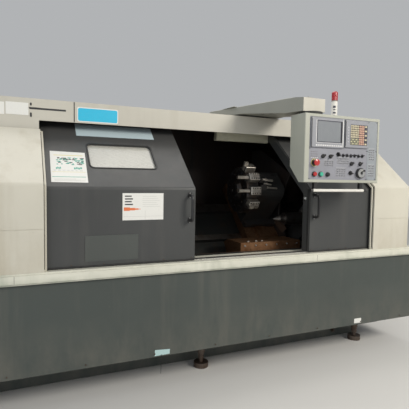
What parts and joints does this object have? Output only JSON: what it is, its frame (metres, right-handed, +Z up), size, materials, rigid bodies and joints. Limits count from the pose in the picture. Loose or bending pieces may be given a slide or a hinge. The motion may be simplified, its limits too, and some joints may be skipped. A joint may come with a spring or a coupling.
{
  "type": "cnc turning lathe",
  "caption": "Slant-bed turning lathe in a sheet-metal enclosure with sliding doors, chuck, tool turret, tailstock, roof arm with a control pendant and a signal tower.",
  "frame": {"origin": "on the floor under the middle of the bounding box", "axes": "+X along the spindle line from the headstock to the tailstock, +Y from the operator to the back of the machine, +Z up"},
  "size_m": [4.6, 2.191, 2.4813],
  "materials": {
    "cream_paint": "semi-gloss powder coat, a little worn",
    "door_grey_paint": "dark grey textured paint",
    "base_grey_paint": "dark green-grey textured paint",
    "cast_grey": "painted casting",
    "machined_steel": "turned and ground steel",
    "worn_steel": "steel with oil and rust stains",
    "black_plastic": "moulded black plastic",
    "window_pane": "clouded polycarbonate",
    "panel_grey": "blue-grey membrane panel",
    "screen_glass": "screen bezel",
    "white_rail": "white painted steel",
    "red_plastic": "red plastic",
    "green_plastic": "green plastic",
    "lamp_lens": "milky lamp cover",
    "belt_rubber": "black rubber",
    "guard_sheet": "oily dark sheet metal"
  },
  "bodies": {
    "machine": {"bed_casting": "base_grey_paint", "levelling_foot_1": "worn_steel", "levelling_foot_2": "worn_steel", "levelling_foot_3": "worn_steel", "coolant_tank": "base_grey_paint", "lower_front_panel": "base_grey_paint", "front_ledge": "cream_paint", "door_rail": "machined_steel", "left_cover": "cream_paint", "right_cover": "cream_paint", "roof_cover": "cream_paint", "rear_cover": "cream_paint", "work_lamp": "lamp_lens", "chamber_left_wall": "guard_sheet", "chamber_right_wall": "guard_sheet", "chip_tray": "worn_steel", "headstock": "cast_grey", "spindle_motor": "cast_grey", "drive_belt": "belt_rubber", "arm_pivot": "black_plastic", "electrical_cabinet": "cream_paint", "signal_tower": "white_rail", "signal_lens": "red_plastic"},
    "left_door": {"left_door": "door_grey_paint", "left_door_window": "window_pane", "left_door_handle": "black_plastic"},
    "right_door": {"right_door": "door_grey_paint", "right_door_handle": "black_plastic"},
    "spindle": {"spindle_shaft": "machined_steel", "chuck_body": "machined_steel"},
    "jaw_1": {"chuck_jaw_1": "machined_steel"},
    "jaw_2": {"chuck_jaw_2": "machined_steel"},
    "jaw_3": {"chuck_jaw_3": "machined_steel"},
    "motor_pulley": {"motor_pulley": "machined_steel"},
    "carriage": {"carriage_saddle": "worn_steel", "carriage_guard": "guard_sheet"},
    "cross_slide": {"cross_slide": "cast_grey"},
    "turret": {"turret_disc": "machined_steel", "tool_holder_1": "machined_steel", "tool_holder_2": "machined_steel", "tool_holder_3": "machined_steel", "tool_holder_4": "machined_steel"},
    "tailstock": {"tailstock_body": "cast_grey"},
    "quill": {"tailstock_quill": "machined_steel"},
    "live_centre": {"live_centre": "machined_steel"},
    "pendant_arm": {"pendant_arm": "cream_paint"},
    "pendant": {"pendant_box": "cream_paint", "panel_plate": "panel_grey", "display_unit": "screen_glass", "keypad_unit": "panel_grey", "grab_rail": "white_rail"},
    "emergency_stop": {"emergency_stop": "red_plastic"},
    "feed_hold_button": {"feed_hold_button": "red_plastic"},
    "cycle_start_button": {"cycle_start_button": "green_plastic"},
    "mode_selector": {"mode_selector": "black_plastic"},
    "feed_selector": {"feed_selector": "black_plastic"},
    "speed_selector": {"speed_selector": "black_plastic"},
    "handwheel": {"handwheel": "black_plastic"},
    "cabinet_door": {"cabinet_door": "cream_paint"},
    "main_switch": {"main_switch": "red_plastic"}
  },
  "joints": [
    {"name": "left_door_slide", "type": "slide", "parent": "machine", "child": "left_door", "axis": [1, 0, 0], "range_m": [-0.475, 0.697]},
    {"name": "right_door_slide", "type": "slide", "parent": "machine", "child": "right_door", "axis": [1, 0, 0], "range_m": [-0.325, 0.04]},
    {"name": "spindle_spin", "type": "hinge", "parent": "machine", "child": "spindle", "pos_m": [-0.62, -0.3661, 1.175], "axis": [1, 0, 0], "continuous": true},
    {"name": "jaw_1_slide", "type": "slide", "parent": "spindle", "child": "jaw_1", "axis": [0, 0, 1], "range_m": [-0.01, 0.02]},
    {"name": "jaw_2_slide", "type": "slide", "parent": "spindle", "child": "jaw_2", "axis": [0, -0.866, -0.5], "range_m": [-0.01, 0.02]},
    {"name": "jaw_3_slide", "type": "slide", "parent": "spindle", "child": "jaw_3", "axis": [0, 0.866, -0.5], "range_m": [-0.01, 0.02]},
    {"name": "motor_spin", "type": "hinge", "parent": "machine", "child": "motor_pulley", "pos_m": [-1.9503, 0.0089, 0.62], "axis": [1, 0, 0], "continuous": true},
    {"name": "carriage_slide", "type": "slide", "parent": "machine", "child": "carriage", "axis": [1, 0, 0], "range_m": [-0.84, 0.04]},
    {"name": "cross_slide_slide", "type": "slide", "parent": "carriage", "child": "cross_slide", "axis": [0, 0.7071, 0.7071], "range_m": [-0.065, 0.18]},
    {"name": "turret_index", "type": "hinge", "parent": "cross_slide", "child": "turret", "pos_m": [0.76, -0.11154, 1.42956], "axis": [1, 0, 0], "continuous": true},
    {"name": "tailstock_slide", "type": "slide", "parent": "machine", "child": "tailstock", "axis": [1, 0, 0], "range_m": [-0.03, 0.12]},
    {"name": "quill_slide", "type": "slide", "parent": "tailstock", "child": "quill", "axis": [1, 0, 0], "range_m": [-0.1, 0.12]},
    {"name": "live_centre_spin", "type": "hinge", "parent": "quill", "child": "live_centre", "pos_m": [1.12, -0.3661, 1.175], "axis": [1, 0, 0], "continuous": true},
    {"name": "arm_swing", "type": "hinge", "parent": "machine", "child": "pendant_arm", "pos_m": [0.9, -0.1511, 2.0983], "axis": [0, 0, 1], "range_deg": [-30, 5]},
    {"name": "pendant_swivel", "type": "hinge", "parent": "pendant_arm", "child": "pendant", "pos_m": [0.93, -0.9671, 2.03], "axis": [0, 0, 1], "range_deg": [-45, 8]},
    {"name": "emergency_stop_push", "type": "slide", "parent": "pendant", "child": "emergency_stop", "axis": [0, 1, 0], "range_m": [0, 0.0035], "stiffness_N_per_m": 1200},
    {"name": "feed_hold_push", "type": "slide", "parent": "pendant", "child": "feed_hold_button", "axis": [0, 1, 0], "range_m": [0, 0.0035], "stiffness_N_per_m": 1200},
    {"name": "cycle_start_push", "type": "slide", "parent": "pendant", "child": "cycle_start_button", "axis": [0, 1, 0], "range_m": [0, 0.0035], "stiffness_N_per_m": 1200},
    {"name": "mode_turn", "type": "hinge", "parent": "pendant", "child": "mode_selector", "pos_m": [0.98875, -1.0555, 1.71604], "axis": [0, 1, 0], "range_deg": [-120, 120]},
    {"name": "feed_turn", "type": "hinge", "parent": "pendant", "child": "feed_selector", "pos_m": [1.05902, -1.0555, 1.71604], "axis": [0, 1, 0], "range_deg": [-120, 120]},
    {"name": "speed_turn", "type": "hinge", "parent": "pendant", "child": "speed_selector", "pos_m": [1.26691, -1.0555, 1.66577], "axis": [0, 1, 0], "range_deg": [-120, 120]},
    {"name": "handwheel_turn", "type": "hinge", "parent": "pendant", "child": "handwheel", "pos_m": [1.35402, -1.0555, 1.59395], "axis": [0, 1, 0], "continuous": true},
    {"name": "cabinet_door_swing", "type": "hinge", "parent": "machine", "child": "cabinet_door", "pos_m": [0.5, 1.0955, 0.45], "axis": [0, 0, 1], "range_deg": [0, 110]},
    {"name": "main_switch_turn", "type": "hinge", "parent": "cabinet_door", "child": "main_switch", "pos_m": [1.76, 1.0955, 1.38], "axis": [0, 1, 0], "range_deg": [0, 90]}
  ],
  "couplings": [
    {"joint": "jaw_2_slide", "follows": "jaw_1_slide", "ratio": 1},
    {"joint": "jaw_3_slide", "follows": "jaw_1_slide", "ratio": 1},
    {"joint": "motor_spin", "follows": "spindle_spin", "ratio": 1.875}
  ]
}
